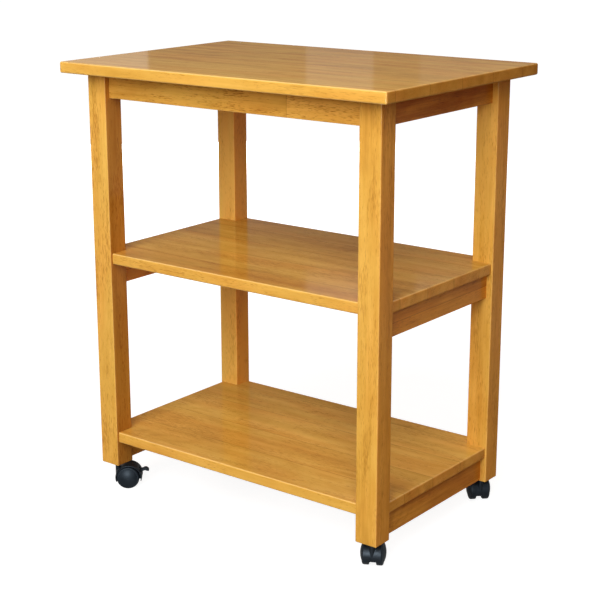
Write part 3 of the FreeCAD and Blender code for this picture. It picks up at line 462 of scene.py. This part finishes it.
def dress_pieces():
    """Give each wooden piece a wood of its own, and the others the finish of their slot."""
    finishes = {
        "hood_plastic": plastic("hood_plastic", **HOOD_PLASTIC),
        "wheel_plastic": plastic("wheel_plastic", **WHEEL_PLASTIC),
        "zinc_steel": steel("zinc_steel"),
        "raw_wood": raw_wood("raw_wood"),
    }
    seeds = {label: SEED_STEP * number for number, label in enumerate(WOODEN, start=1)}
    for row in frame["record"]["subparts"]:
        label = row["node"]
        if label in WOODEN:
            finish = wood(f"stained_wood_{label}", seed=seeds[label], **WOODEN[label])
        else:
            finish = finishes[row["material_slot"]]
        for slot in frame["nodes"][label].material_slots:
            slot.material = finish


def seen_directly(sh):
    """Whether a ray shows the background: from the camera, a mirror or a clear piece."""
    rays = sh.node("LightPath", {}).outputs
    opaque = sh.math("MAXIMUM", rays["Is Camera Ray"], rays["Is Glossy Ray"])
    return sh.math("MAXIMUM", opaque, rays["Is Transmission Ray"])


def add_stage(name, corners, faces, material):
    """Piece of the studio, which isn't part of the cart."""
    mesh = bpy.data.meshes.new(name)
    mesh.from_pydata(corners, [], faces)
    mesh.materials.append(material)
    piece = bpy.data.objects.new(name, mesh)
    bpy.context.scene.collection.objects.link(piece)
    return piece


def add_floor():
    """Pale floor that shows white to the camera, glows less near the cart and keeps a soft shadow there,
    with a painted shade near the cart in reflections.
    """
    sh = Shader(bpy.data.materials.new("floor"))
    plain = sh.node("BsdfDiffuse", {"Color": FLOOR_COLOUR}).outputs[0]
    shaded = sh.node("BsdfDiffuse", {"Color": FLOOR_SHADE}).outputs[0]
    away = sh.node("VectorMath", {0: sh.place()}, operation="LENGTH").outputs["Value"]
    # Painted shade near the cart, seen only in reflections
    mirrored = sh.node("LightPath", {}).outputs["Is Glossy Ray"]
    painted_shade_in_mirrors = sh.times(mirrored, sh.remap(away, FLOOR_NEAR, FLOOR_FAR, FLOOR_PAINTED_SHADE_IN_MIRRORS, 0.0))
    strength = sh.math("SUBTRACT", sh.remap(away, FLOOR_NEAR, FLOOR_FAR, FLOOR_GLOW, 1.0), painted_shade_in_mirrors)
    glow = sh.node("Emission", {"Color": WHITE, "Strength": strength}).outputs[0]
    seen = sh.node("AddShader", {0: shaded, 1: glow}).outputs[0]
    choice = sh.node("MixShader", {0: seen_directly(sh), 1: plain, 2: seen})
    sh.node("OutputMaterial", {"Surface": choice.outputs[0]})

    half = FLOOR_SIZE / 2
    corners = [(-half, -half, 0), (half, -half, 0), (half, half, 0), (-half, half, 0)]
    add_stage("floor", corners, [(0, 1, 2, 3)], sh.owner)


def add_mirrored(name, corners, faces, level):
    """Glowing piece of the studio that is seen only in reflections."""
    sh = Shader(bpy.data.materials.new(name))
    glow = sh.node("Emission", {"Color": WHITE, "Strength": level})
    sh.node("OutputMaterial", {"Surface": glow.outputs[0]})
    piece = add_stage(name, corners, faces, sh.owner)
    piece.visible_camera = False
    piece.visible_diffuse = False
    piece.visible_transmission = False
    piece.visible_shadow = False


def add_wall():
    """Dim round wall of the studio."""
    turns = [2 * math.pi * step / STUDIO_SIDES for step in range(STUDIO_SIDES)]
    ring = [(STUDIO_RADIUS * math.cos(turn), STUDIO_RADIUS * math.sin(turn)) for turn in turns]
    faces = []
    for step in range(STUDIO_SIDES):
        following = (step + 1) % STUDIO_SIDES
        faces.append((step, following, STUDIO_SIDES + following, STUDIO_SIDES + step))
    for number, (low, high, level) in enumerate(STUDIO_BANDS, start=1):
        corners = [(x, y, low) for x, y in ring] + [(x, y, high) for x, y in ring]
        add_mirrored(f"studio_wall_{number}", corners, faces, level)


def add_cards():
    """Pale cards behind the cart, as the camera sees it."""
    ahead = (CART_MIDDLE - CAMERA_EYE).xy.normalized()
    right = Vector((ahead.y, -ahead.x))
    for number, (first, last, level) in enumerate(CARDS, start=1):
        ends = [CAMERA_EYE.xy + CARD_REACH * (ahead + math.tan(math.radians(angle)) * right)
                for angle in (first, last)]
        corners = [(*place, CARD_LOW) for place in ends] + [(*place, CARD_HIGH) for place in reversed(ends)]
        add_mirrored(f"card_{number}", corners, [(0, 1, 2, 3)], level)


def add_lamp(name, place, width, level, glint):
    """Soft square lamp. A white face turned to it at the cart renders at its level."""
    lamp = bpy.data.lights.new(name, "AREA")
    lamp.shape = "SQUARE"
    lamp.size = width
    reach = place - CART_MIDDLE
    lamp.energy = level * math.pi ** 2 * reach.length_squared
    item = bpy.data.objects.new(name, lamp)
    item.location = place
    item.rotation_euler = reach.to_track_quat("Z", "Y").to_euler()
    item.visible_glossy = glint
    item.visible_diffuse = not glint
    bpy.context.scene.collection.objects.link(item)


def add_sky():
    """Even sky, white where it is seen."""
    world = bpy.data.worlds.new("sky")
    bpy.context.scene.world = world
    sh = Shader(world)
    colour = sh.mix(seen_directly(sh), SKY_COLOUR, WHITE)
    sky = sh.node("Background", {"Color": colour, "Strength": 1.0})
    sh.node("OutputWorld", {"Surface": sky.outputs[0]})


def add_camera():
    """Camera at the photograph's viewing angle."""
    lens = bpy.data.cameras.new("camera")
    lens.lens = CAMERA_LENS
    lens.sensor_width = CAMERA_SENSOR
    lens.shift_x, lens.shift_y = CAMERA_SHIFT
    camera = bpy.data.objects.new("camera", lens)
    camera.location = CAMERA_EYE
    level = (CAMERA_EYE - CAMERA_AIM).to_track_quat("Z", "Y")
    roll = Quaternion((0.0, 0.0, 1.0), math.radians(CAMERA_ROLL))
    camera.rotation_euler = (level @ roll).to_euler()
    bpy.context.scene.collection.objects.link(camera)
    bpy.context.scene.camera = camera


dress_pieces()
add_floor()
add_wall()
add_cards()
for lamp in LAMPS:
    add_lamp(*lamp)
add_sky()
add_camera()
bpy.context.scene.view_settings.view_transform = "Standard"
